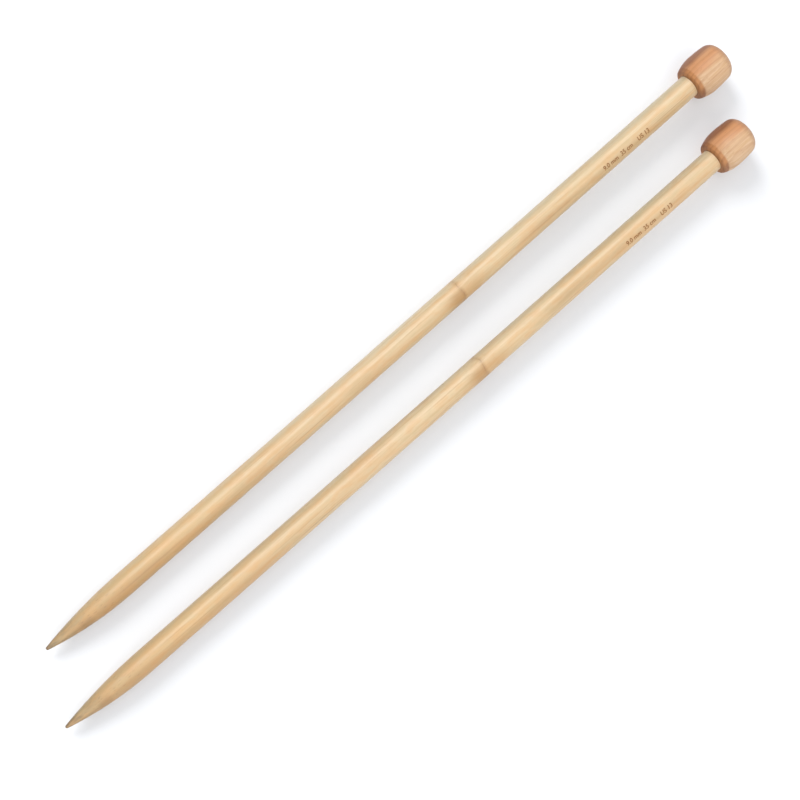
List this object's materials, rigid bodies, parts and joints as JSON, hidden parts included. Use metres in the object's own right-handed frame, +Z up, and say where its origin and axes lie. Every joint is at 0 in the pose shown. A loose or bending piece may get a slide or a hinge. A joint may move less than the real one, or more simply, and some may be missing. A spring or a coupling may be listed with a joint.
{
  "type": "straight knitting needles",
  "caption": "Straight single-pointed bamboo knitting needles with ogive points and turned, barrel-shaped wooden end caps.",
  "frame": {"origin": "middle of the pair's footprint, on the table they lie on", "axes": "+X from the points to the caps, +Y towards needle A, +Z up off the table"},
  "size_m": [0.3632, 0.044, 0.0165],
  "materials": {
    "bamboo": "waxed satin",
    "turned_wood": "clear satin lacquer",
    "wood_glue": "dried glue"
  },
  "bodies": {
    "needle_a": {"needle_a_shaft": "bamboo", "needle_a_cap": "turned_wood", "needle_a_glue": "wood_glue"},
    "needle_b": {"needle_b_shaft": "bamboo", "needle_b_cap": "turned_wood", "needle_b_glue": "wood_glue"}
  },
  "joints": [
    {"name": "needle_b_slide", "type": "slide", "parent": "needle_a", "child": "needle_b", "axis": [1, -0.0029, 0], "range_m": [-0.35, 0.35]}
  ]
}
